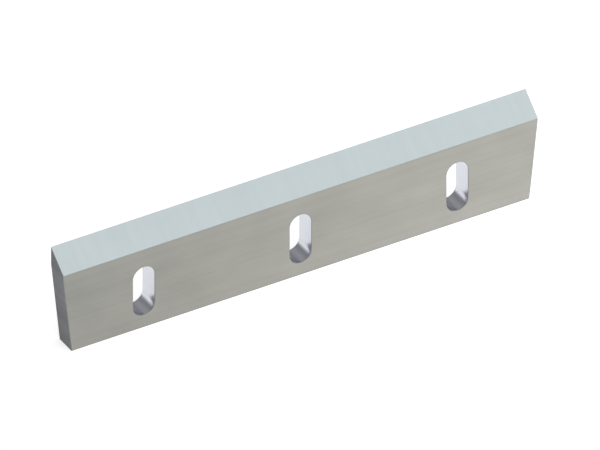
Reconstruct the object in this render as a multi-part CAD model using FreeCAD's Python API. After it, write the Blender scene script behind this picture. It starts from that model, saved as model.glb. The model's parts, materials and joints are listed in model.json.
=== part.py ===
import FreeCAD, Part
import math
import os

# Rotor knife: one flat bar of hardened tool steel, ground all over, with one bevel along its top.
# It stands on its heel. X runs along the cutting edge, with 0 midway along the bar.
# Y runs through the thickness, from the front face, where the bevel starts, to the back face.
# Z runs up from the heel, at 0, to the cutting edge, which is the top of the back face.
# Lengths are in millimetres and angles in degrees.

# Bar
edge_length = 330.0
thickness = 15.0
height = 70.0

# Bevel, rising from the front face to the cutting edge at this angle to the level
bevel_angle = 40.0

# Ends, square for the depth of the land under the cutting edge and relieved inwards below it
end_land = 14.3
relief_angle = 6.0

# Upright bolt slots through both faces, spread evenly between the two nearest the ends
slot_count = 3
end_to_slot = 56.0
heel_to_slot = 9.3
slot_width = 15.0
slot_length = 35.0

# Broken edges: the two along the heel, those down the ends, and the rims of the slots
heel_break = 0.5
end_break = 0.4
rim_break = 0.4

# How far a cutting outline runs past the bar, and the slack for telling where an edge lies
overrun = 5.0
slack = 0.001

# Planes and places that follow from the sizes
front_y = -thickness / 2
back_y = thickness / 2
end_x = edge_length / 2
front_top = height - thickness * math.tan(math.radians(bevel_angle))
land_bottom = height - end_land
slot_radius = slot_width / 2
slot_low_centre = heel_to_slot + slot_radius
slot_high_centre = heel_to_slot + slot_length - slot_radius


def ground_bar():
    """The bar with its bevel, as one section pushed along the length, both edges of the heel broken."""
    section = [
        FreeCAD.Vector(-end_x, front_y + heel_break, 0),
        FreeCAD.Vector(-end_x, back_y - heel_break, 0),
        FreeCAD.Vector(-end_x, back_y, heel_break),
        FreeCAD.Vector(-end_x, back_y, height),
        FreeCAD.Vector(-end_x, front_y, front_top),
        FreeCAD.Vector(-end_x, front_y, heel_break),
    ]
    outline = Part.makePolygon(section + section[:1])
    return Part.Face(outline).extrude(FreeCAD.Vector(edge_length, 0, 0))


def relief_x(z):
    """How far from the middle of the bar the relieved plane of an end lies, at height z."""
    return end_x - (land_bottom - z) * math.tan(math.radians(relief_angle))


def relief_cutter(side):
    """What the relief takes off one end, -1 for the left and 1 for the right."""
    low = -overrun
    high = height + overrun
    outside = relief_x(high) + overrun
    corners = [
        FreeCAD.Vector(side * relief_x(low), front_y - overrun, low),
        FreeCAD.Vector(side * relief_x(high), front_y - overrun, high),
        FreeCAD.Vector(side * outside, front_y - overrun, high),
        FreeCAD.Vector(side * outside, front_y - overrun, low),
    ]
    outline = Part.makePolygon(corners + corners[:1])
    return Part.Face(outline).extrude(FreeCAD.Vector(0, thickness + 2 * overrun, 0))


def slot_places():
    """The X of each slot's centre line. A single slot would be in the middle."""
    if slot_count == 1:
        return [0.0]
    outermost = end_x - end_to_slot
    pitch = 2 * outermost / (slot_count - 1)
    return [-outermost + pitch * index for index in range(slot_count)]


def slot_cutter(x):
    """A round-ended slot right through the bar: two straight sides joined by two half circles."""
    y = front_y - overrun
    top = FreeCAD.Vector(x, y, slot_high_centre + slot_radius)
    bottom = FreeCAD.Vector(x, y, slot_low_centre - slot_radius)
    left_high = FreeCAD.Vector(x - slot_radius, y, slot_high_centre)
    left_low = FreeCAD.Vector(x - slot_radius, y, slot_low_centre)
    right_high = FreeCAD.Vector(x + slot_radius, y, slot_high_centre)
    right_low = FreeCAD.Vector(x + slot_radius, y, slot_low_centre)
    outline = Part.Wire(
        [
            Part.Arc(left_high, top, right_high).toShape(),
            Part.LineSegment(right_high, right_low).toShape(),
            Part.Arc(right_low, bottom, left_low).toShape(),
            Part.LineSegment(left_low, left_high).toShape(),
        ]
    )
    return Part.Face(outline).extrude(FreeCAD.Vector(0, thickness + 2 * overrun, 0))


def lying_at(shapes, y):
    """Those of the faces or edges that lie wholly in the plane at y, the front's or the back's."""
    return [s for s in shapes if abs(s.BoundBox.YMin - y) < slack and abs(s.BoundBox.YMax - y) < slack]


def end_edges(solid):
    """The edges down both ends: all of the front's, and the back's below the land, which stays sharp."""
    front = [edge for edge in lying_at(solid.Edges, front_y) if edge.BoundBox.ZLength > slack]
    back = [edge for edge in lying_at(solid.Edges, back_y) if edge.BoundBox.ZLength > slack]
    return front + [edge for edge in back if edge.BoundBox.ZMax < land_bottom + slack]


def rim_edges(solid):
    """The edges round the mouths of the slots, which are the inner outlines of the front and the back."""
    found = []
    for face in lying_at(solid.Faces, front_y) + lying_at(solid.Faces, back_y):
        for outline in face.Wires:
            if not outline.isSame(face.OuterWire):
                found += outline.Edges
    return found


def rotor_knife():
    """The whole knife: the bar, its ends relieved and broken, then its slots cut and broken."""
    knife = ground_bar()
    for side in (-1, 1):
        knife = knife.cut(relief_cutter(side))
    knife = knife.makeChamfer(end_break, end_edges(knife))
    for x in slot_places():
        knife = knife.cut(slot_cutter(x))
    return knife.makeChamfer(rim_break, rim_edges(knife))


os.makedirs("parts", exist_ok=True)
rotor_knife().exportStep("parts/rotor_knife.step")
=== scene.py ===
import json
import math
import bmesh
import bpy
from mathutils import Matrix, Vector


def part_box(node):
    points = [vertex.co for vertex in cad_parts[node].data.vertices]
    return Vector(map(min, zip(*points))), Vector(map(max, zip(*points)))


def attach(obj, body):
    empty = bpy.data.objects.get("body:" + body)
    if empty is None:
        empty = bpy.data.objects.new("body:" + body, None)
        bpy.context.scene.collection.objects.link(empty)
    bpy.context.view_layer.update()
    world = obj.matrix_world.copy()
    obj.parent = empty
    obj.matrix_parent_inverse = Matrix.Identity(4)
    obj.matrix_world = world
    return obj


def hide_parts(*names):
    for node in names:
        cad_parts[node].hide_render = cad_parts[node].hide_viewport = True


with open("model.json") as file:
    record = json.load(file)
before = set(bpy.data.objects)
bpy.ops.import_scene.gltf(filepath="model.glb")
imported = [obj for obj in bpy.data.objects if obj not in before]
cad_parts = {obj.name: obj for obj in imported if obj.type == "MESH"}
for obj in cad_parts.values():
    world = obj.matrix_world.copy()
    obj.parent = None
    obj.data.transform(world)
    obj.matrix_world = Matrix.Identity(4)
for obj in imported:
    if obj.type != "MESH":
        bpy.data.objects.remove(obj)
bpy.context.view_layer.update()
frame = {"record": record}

# Knife bar
# One flat bar of hardened tool steel, ground on its faces, bevel, heel and ends. Its outer edges are
# broken with a stone, apart from the cutting edge and the back edges of the two square end lands.
mm = 0.001
bevel_angle = math.radians(40)
relief_angle = math.radians(6)
end_land = 14.3 * mm
heel_break = 0.5 * mm
end_break = 0.4 * mm
break_facets = 3

bar_low, bar_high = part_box("rotor_knife")
front_y, back_y = bar_low.y, bar_high.y
end_x = bar_high.x
front_top = bar_high.z - (back_y - front_y) * math.tan(bevel_angle)
land_bottom = bar_high.z - end_land

bar_mesh = bmesh.new()
grain = bar_mesh.loops.layers.uv.new("grain")
finishes = ["ground_face", "ground_bevel_painted_light", "ground_end_painted_shade", "milled_slot_painted_light", "broken_edge"]


def lay_grain(face, along):
    """Maps a flat face in metres, first along its grinding lines and then across them."""
    face.normal_update()
    across = face.normal.cross(along).normalized()
    for loop in face.loops:
        loop[grain].uv = (loop.vert.co.dot(along), loop.vert.co.dot(across))


def add_face(corners, finish, along):
    """A flat face with its finish, ground or rubbed in the direction given."""
    face = bar_mesh.faces.new(corners)
    face.material_index = finishes.index(finish)
    lay_grain(face, along)


def round_depths(size):
    """Depths below a face of the points round an edge broken by size, from the face to the side."""
    return [size * (1 - math.cos(math.pi / 2 * step / break_facets)) for step in range(break_facets + 1)]


def set_back(size, depth):
    """How far the round of an edge broken by size lies behind the side, at a depth below the face."""
    return size - math.sqrt(size**2 - max(size - depth, 0) ** 2)


def outline(y, depth, at_back):
    """The bar's outline at a depth: heel, land's bottom and top on the right, then those on the left."""
    heel_z = set_back(heel_break, depth)
    inset = set_back(end_break, depth)
    heel_x = end_x - (land_bottom - heel_z) * math.tan(relief_angle) - inset / math.cos(relief_angle)
    land_x = end_x if at_back else end_x - inset
    runs_out = inset / math.sin(relief_angle) if at_back else inset * math.tan(relief_angle / 2)
    top_z = front_top + (y - front_y) * math.tan(bevel_angle)
    right = [(heel_x, heel_z), (land_x, land_bottom + runs_out), (land_x, top_z)]
    left = [(-x, z) for x, z in reversed(right)]
    return [bar_mesh.verts.new((x, y, z)) for x, z in right + left]


x_axis, y_axis = Vector((1, 0, 0)), Vector((0, 1, 0))
up_bevel = Vector((0, math.cos(bevel_angle), math.sin(bevel_angle)))

# Each side's finish, the way it was ground, and whether its front and its back edge are broken
# The ends and lands take the end finish, whose darker colour is painted shade
relief = ("ground_end_painted_shade", y_axis, True, True)
land = ("ground_end_painted_shade", y_axis, True, False)
bevel = ("ground_bevel_painted_light", up_bevel, False, False)
heel = ("ground_face", x_axis, True, True)
sides = [relief, land, bevel, land, relief, heel]

bar_depths = round_depths(heel_break)
rows = [outline(front_y + depth, depth, False) for depth in bar_depths]
rows += [outline(back_y - depth, depth, True) for depth in reversed(bar_depths)]
for number, (near, far) in enumerate(zip(rows, rows[1:])):
    at_front = number < break_facets
    at_back = number > break_facets
    for side, (finish, along, front_broken, back_broken) in enumerate(sides):
        if (at_front and front_broken) or (at_back and back_broken):
            finish = "broken_edge"
        following = (side + 1) % len(sides)
        add_face([near[side], near[following], far[following], far[side]], finish, along)

# Bolt slots
# Three upright slots with round ends, milled through the bar so that the knife can be moved up as it
# wears. Their walls are smooth and bright from the cutter, and brighter still from painted light in their
# lavender colour, and their rims are broken on both faces.
rim_break = 0.4 * mm
arc_steps = 32


def slot_ring(mount, y, inset):
    """One ring of points round a slot, set back into the bar by inset."""
    centre_x, centre_z = mount["pos_m"][0], mount["pos_m"][2]
    radius = mount["dims"]["hole_r_mm"] * mm
    half_straight = mount["dims"]["slot_length_mm"] * mm / 2 - radius
    ring = []
    for step in range(2 * arc_steps + 2):
        upper = step <= arc_steps
        turn = math.pi * (step if upper else step - 1) / arc_steps
        x = centre_x + (radius + inset) * math.cos(turn)
        z = centre_z + (half_straight if upper else -half_straight) + (radius + inset) * math.sin(turn)
        ring.append(bar_mesh.verts.new((x, y, z)))
    return ring


def slot_band(near, far, girths, finish):
    """The faces between two rings, mapped through the bar and then by how far round the slot they lie."""
    for point in range(len(near)):
        following = (point + 1) % len(near)
        wall = bar_mesh.faces.new([near[point], near[following], far[following], far[point]])
        wall.material_index = finishes.index(finish)
        here, there = girths[point], girths[point + 1]
        for loop, girth in zip(wall.loops, [here, there, there, here]):
            loop[grain].uv = (loop.vert.co.y, girth)


rim_depths = round_depths(rim_break)
front_mouths, back_mouths = [], []
for mount in frame["record"]["mounts"]:
    if mount["kind"] != "bolt_pattern":
        continue
    rings = [slot_ring(mount, front_y + depth, set_back(rim_break, depth)) for depth in rim_depths]
    for depth in reversed(rim_depths):
        rings.append(slot_ring(mount, back_y - depth, set_back(rim_break, depth)))
    # How far round the slot's mouth each point lies, and the whole way round as the last
    mouth = rings[0]
    girths = [0.0]
    for here, there in zip(mouth, mouth[1:] + mouth[:1]):
        girths.append(girths[-1] + (there.co - here.co).length)
    for number, (near, far) in enumerate(zip(rings, rings[1:])):
        slot_band(near, far, girths, "milled_slot_painted_light" if number == break_facets else "broken_edge")
    front_mouths.append(rings[0])
    back_mouths.append(rings[-1])

# Front and back
# The two broad faces, ground flat along the bar and round the mouths of the slots. They close the knife,
# which is one piece. Corners between two finishes are crisp, and the slots and broken edges are round.
scene = bpy.context.scene


def fill_face(outlines):
    """Fills a flat ground face between its outline and the mouths of the slots."""
    edges = []
    for points in outlines:
        for here, there in zip(points, points[1:] + points[:1]):
            edges.append(bar_mesh.edges.get((here, there)))
    made = bmesh.ops.triangle_fill(bar_mesh, edges=edges, use_beauty=True)["geom"]
    for face in made:
        if isinstance(face, bmesh.types.BMFace):
            face.material_index = finishes.index("ground_face")
            lay_grain(face, x_axis)


def place_mesh(made, name):
    """Puts a finished mesh into the scene as an object, both under one name."""
    data = bpy.data.meshes.new(name)
    made.to_mesh(data)
    made.free()
    placed = bpy.data.objects.new(name, data)
    scene.collection.objects.link(placed)
    return placed


fill_face([rows[0]] + front_mouths)
fill_face([rows[-1]] + back_mouths)
bmesh.ops.recalc_face_normals(bar_mesh, faces=bar_mesh.faces)
rounded = [finishes.index("milled_slot_painted_light"), finishes.index("broken_edge")]
for edge in bar_mesh.edges:
    finish, other_finish = [face.material_index for face in edge.link_faces]
    edge.smooth = finish == other_finish and finish in rounded
for face in bar_mesh.faces:
    face.smooth = True
knife = place_mesh(bar_mesh, "ground_knife")

# Steel finishes
# Bare steel with the marks of its making. The wheel left fine lines along the faces, up the bevel and
# through the thickness of the ends, and the cutter left them through the slots. The ends are dullest. The
# colours are one steel in lit and shaded copies, painted light and shade: the bevel is painted lighter
# and cooler, the slot walls lighter and lavender, and the ends darker than the faces.
highlight_stretch = 0.4
highlight_turn = 0.25
wander_length, wander_width = 40 * mm, 3 * mm
lines_in_a_pass = 12
pass_share = 0.35
patch_length, patch_width = 35 * mm, 25 * mm
patch_share = 0.3
pattern_low, pattern_high = 0.3, 0.7
roughness_spread = 0.15
line_relief = 0.4


def add_finish(name, colour, roughness, line_width, contrast, line_depth):
    """Adds a finish to the knife: fine straight lines, in passes that differ a little in tone."""
    material = bpy.data.materials.new(name)
    material.use_nodes = True
    nodes, links = material.node_tree.nodes, material.node_tree.links
    shader = nodes["Principled BSDF"]
    shader.inputs["Metallic"].default_value = 1
    shader.inputs["Anisotropic"].default_value = highlight_stretch
    shader.inputs["Anisotropic Rotation"].default_value = highlight_turn
    tangent = nodes.new("ShaderNodeTangent")
    tangent.direction_type = "UV_MAP"
    tangent.uv_map = "grain"
    links.new(tangent.outputs["Tangent"], shader.inputs["Tangent"])
    place = nodes.new("ShaderNodeUVMap")
    place.uv_map = "grain"
    split = nodes.new("ShaderNodeSeparateXYZ")
    links.new(place.outputs["UV"], split.inputs["Vector"])

    def patches(length, width):
        """Slow changes of tone, as long and as wide as given."""
        stretch = nodes.new("ShaderNodeMapping")
        stretch.inputs["Scale"].default_value = (1 / length, 1 / width, 1)
        links.new(place.outputs["UV"], stretch.inputs["Vector"])
        pattern = nodes.new("ShaderNodeTexNoise")
        pattern.noise_dimensions = "2D"
        pattern.inputs["Scale"].default_value = 1
        pattern.inputs["Detail"].default_value = 2
        links.new(stretch.outputs["Vector"], pattern.inputs["Vector"])
        return pattern.outputs["Fac"]

    def straight_lines(width, wander, detail):
        """Lines along the grain, which wander sideways by a share of their width."""
        step = nodes.new("ShaderNodeMath")
        step.operation = "MULTIPLY"
        step.inputs[1].default_value = 1 / width
        links.new(split.outputs["Y"], step.inputs[0])
        drift = nodes.new("ShaderNodeMath")
        drift.operation = "MULTIPLY_ADD"
        drift.inputs[1].default_value = wander
        links.new(patches(wander_length, wander_width), drift.inputs[0])
        links.new(step.outputs["Value"], drift.inputs[2])
        pattern = nodes.new("ShaderNodeTexNoise")
        pattern.noise_dimensions = "1D"
        pattern.inputs["Scale"].default_value = 1
        pattern.inputs["Detail"].default_value = detail
        links.new(drift.outputs["Value"], pattern.inputs["W"])
        return pattern.outputs["Fac"]

    def blend_of(first, second, share):
        """The first pattern, with a share of the second mixed in."""
        mix = nodes.new("ShaderNodeMix")
        mix.inputs["Factor"].default_value = share
        links.new(first, mix.inputs["A"])
        links.new(second, mix.inputs["B"])
        return mix.outputs["Result"]

    def spread(value, low, high):
        """The middle of a pattern's range of values, drawn out between two others."""
        span = nodes.new("ShaderNodeMapRange")
        span.inputs["From Min"].default_value = pattern_low
        span.inputs["From Max"].default_value = pattern_high
        span.inputs["To Min"].default_value = low
        span.inputs["To Max"].default_value = high
        links.new(value, span.inputs["Value"])
        return span.outputs["Result"]

    lines = straight_lines(line_width, wander=1.5, detail=3)
    passes = straight_lines(lines_in_a_pass * line_width, wander=0.3, detail=1)
    marks = blend_of(lines, passes, pass_share)
    tone = blend_of(marks, patches(patch_length, patch_width), patch_share)
    tint = nodes.new("ShaderNodeVectorMath")
    tint.operation = "SCALE"
    tint.inputs[0].default_value = colour
    links.new(spread(tone, 1 - contrast, 1 + contrast), tint.inputs["Scale"])
    links.new(tint.outputs["Vector"], shader.inputs["Base Color"])
    dullest, brightest = roughness * (1 + roughness_spread), roughness * (1 - roughness_spread)
    links.new(spread(tone, dullest, brightest), shader.inputs["Roughness"])
    bump = nodes.new("ShaderNodeBump")
    bump.inputs["Strength"].default_value = line_relief
    bump.inputs["Distance"].default_value = line_depth
    links.new(lines, bump.inputs["Height"])
    links.new(bump.outputs["Normal"], shader.inputs["Normal"])
    knife.data.materials.append(material)


# In the order of the list of finishes, because a face holds its finish as a number in that list
add_finish(
    "ground_face",
    colour=(0.308, 0.305, 0.279),
    roughness=0.38,
    line_width=0.6 * mm,
    contrast=0.08,
    line_depth=0.004 * mm,
)
# The bevel's lighter, cooler colour is painted light, a lit copy of the same ground steel
add_finish(
    "ground_bevel_painted_light",
    colour=(0.464, 0.512, 0.523),
    roughness=0.34,
    line_width=0.5 * mm,
    contrast=0.045,
    line_depth=0.002 * mm,
)
# The ends' dark colour is painted shade, a shaded copy of the same ground steel
add_finish(
    "ground_end_painted_shade",
    colour=(0.174, 0.175, 0.181),
    roughness=0.6,
    line_width=0.6 * mm,
    contrast=0.12,
    line_depth=0.004 * mm,
)
# The walls' low roughness is the cutter's; their bright lavender colour is painted light
add_finish(
    "milled_slot_painted_light",
    colour=(0.655, 0.665, 0.72),
    roughness=0.24,
    line_width=0.8 * mm,
    contrast=0.04,
    line_depth=0.002 * mm,
)
add_finish(
    "broken_edge",
    colour=(0.28, 0.28, 0.267),
    roughness=0.42,
    line_width=0.3 * mm,
    contrast=0.1,
    line_depth=0.002 * mm,
)
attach(knife, "root")
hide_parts("rotor_knife")

# Floor
# A plain pale studio floor that the heel stands on. It is a milky sheet that glows a little by itself,
# painted light with no lamp under it, so that shadows stay faint. Its glow is even behind the knife. In
# front it rises towards the right and the foot, painted light that fills the shade at the foot and gives
# the front face its change of tone from left to right.
floor_size = 6.0
floor_colour = (0.7, 0.7, 0.7, 1)
floor_roughness = 0.9
floor_gloss = 0.1
glow_colour = (1, 1, 1, 1)
glow_behind = 0.65
glow_left, glow_right = 0.47, 0.8
glow_rises_from, glow_rises_to = -0.22, 0.2
foot_glow_reach = 0.07
foot_glow_gain = 1.3
floor_mesh = bmesh.new()
bmesh.ops.create_grid(floor_mesh, x_segments=1, y_segments=1, size=floor_size / 2)
floor = place_mesh(floor_mesh, "floor")
pale = bpy.data.materials.new("floor_pale")
pale.use_nodes = True
sheet_nodes, sheet_links = pale.node_tree.nodes, pale.node_tree.links
sheet = sheet_nodes["Principled BSDF"]
sheet.inputs["Base Color"].default_value = floor_colour
sheet.inputs["Roughness"].default_value = floor_roughness
sheet.inputs["Specular IOR Level"].default_value = floor_gloss
sheet.inputs["Emission Color"].default_value = glow_colour
sheet_place = sheet_nodes.new("ShaderNodeTexCoord")
sheet_axes = sheet_nodes.new("ShaderNodeSeparateXYZ")
sheet_links.new(sheet_place.outputs["Object"], sheet_axes.inputs["Vector"])


def change_across(axis, start, end, first, last):
    """A smooth change from a first value to a last one, along X or Y across the floor."""
    change = sheet_nodes.new("ShaderNodeMapRange")
    change.interpolation_type = "SMOOTHSTEP"
    change.inputs["From Min"].default_value = start
    change.inputs["From Max"].default_value = end
    change.inputs["To Min"].default_value = first
    change.inputs["To Max"].default_value = last
    sheet_links.new(sheet_axes.outputs[axis], change.inputs["Value"])
    return change.outputs["Result"]


# In front of the knife the two changes are multiplied. Under it the glow passes over to the even one.
to_the_right = change_across("X", glow_rises_from, glow_rises_to, glow_left, glow_right)
to_the_foot = change_across("Y", front_y - foot_glow_reach, front_y, 1, foot_glow_gain)
under_the_bar = change_across("Y", front_y, back_y, 0, 1)
glow_in_front = sheet_nodes.new("ShaderNodeMath")
glow_in_front.operation = "MULTIPLY"
sheet_links.new(to_the_right, glow_in_front.inputs[0])
sheet_links.new(to_the_foot, glow_in_front.inputs[1])
glow = sheet_nodes.new("ShaderNodeMix")
glow.inputs["B"].default_value = glow_behind
sheet_links.new(under_the_bar, glow.inputs["Factor"])
sheet_links.new(glow_in_front.outputs["Value"], glow.inputs["A"])
sheet_links.new(glow.outputs["Result"], sheet.inputs["Emission Strength"])
floor.data.materials.append(pale)

# Light
# Three soft boxes, a broad one overhead, one at the front and a smaller one at the right. The surround
# is white at the horizon and below, dimmer above it and paler again overhead.
scene.view_settings.view_transform = "Standard"


def soft_box(name, direction, distance, size, brightness, colour):
    """A square light facing the knife. Its brightness is that of its surface, whatever its size."""
    light = bpy.data.lights.new(name, "AREA")
    light.shape = "SQUARE"
    light.size = size
    light.energy = brightness * math.pi * size**2
    light.color = colour
    lamp = bpy.data.objects.new(name, light)
    scene.collection.objects.link(lamp)
    away = Vector(direction).normalized()
    lamp.location = away * distance
    lamp.rotation_euler = away.to_track_quat("Z", "Y").to_euler()


soft_box(
    "overhead_box",
    direction=(0.2, -0.6, 1),
    distance=1.5,
    size=2.0,
    brightness=0.62,
    colour=(0.98, 1, 1),
)
soft_box(
    "front_box",
    direction=(0, -1, 0.65),
    distance=1.6,
    size=1.4,
    brightness=0.8,
    colour=(1, 1, 1),
)
soft_box(
    "right_box",
    direction=(0.86, -0.03, 0.5),
    distance=1.3,
    size=0.7,
    brightness=3.3,
    colour=(1, 1, 1),
)
surround_colour = (0.97, 0.985, 1, 1)
surround = bpy.data.worlds.new("surround")
scene.world = surround
surround.use_nodes = True
sky_nodes, sky_links = surround.node_tree.nodes, surround.node_tree.links
sky_nodes["Background"].inputs["Color"].default_value = surround_colour
sky_place = sky_nodes.new("ShaderNodeTexCoord")
sky_height = sky_nodes.new("ShaderNodeSeparateXYZ")
sky_tones = sky_nodes.new("ShaderNodeValToRGB")
sky_links.new(sky_place.outputs["Generated"], sky_height.inputs["Vector"])
sky_links.new(sky_height.outputs["Z"], sky_tones.inputs["Fac"])
sky_links.new(sky_tones.outputs["Color"], sky_nodes["Background"].inputs["Strength"])

# Pairs of a height, from the horizon at 0 to overhead at 1, and how bright the surround is there
sky_bands = [
    (0, 1),
    (0.02, 0.62),
    (0.1, 0.57),
    (0.28, 0.25),
    (0.5, 0.27),
    (0.58, 0.3),
    (0.7, 0.36),
    (1, 0.72),
]
stops = sky_tones.color_ramp.elements
for height, brightness in sky_bands[1:-1]:
    stops.new(height)
for stop, (height, brightness) in zip(stops, sky_bands):
    stop.color = (brightness, brightness, brightness, 1)

# Camera
# It looks with parallel rays, from 30 degrees left of the front and 35.26 degrees up, at a point on the
# plane of the front face. That point and the scale were fitted to the knife's edges in the picture.
azimuth = math.radians(-30)
elevation = math.atan(math.sqrt(0.5))
camera_distance = 1.0
pixels_wide = 600
pixels_per_mm = 1.6603
looks_at = Vector((-0.51 * mm, front_y, 37.1 * mm))
camera_data = bpy.data.cameras.new("camera")
camera_data.type = "ORTHO"
camera_data.ortho_scale = pixels_wide / pixels_per_mm * mm
camera = bpy.data.objects.new("camera", camera_data)
scene.collection.objects.link(camera)
away = Vector(
    (
        math.sin(azimuth) * math.cos(elevation),
        -math.cos(azimuth) * math.cos(elevation),
        math.sin(elevation),
    )
)
camera.location = looks_at + away * camera_distance
camera.rotation_euler = away.to_track_quat("Z", "Y").to_euler()
scene.camera = camera
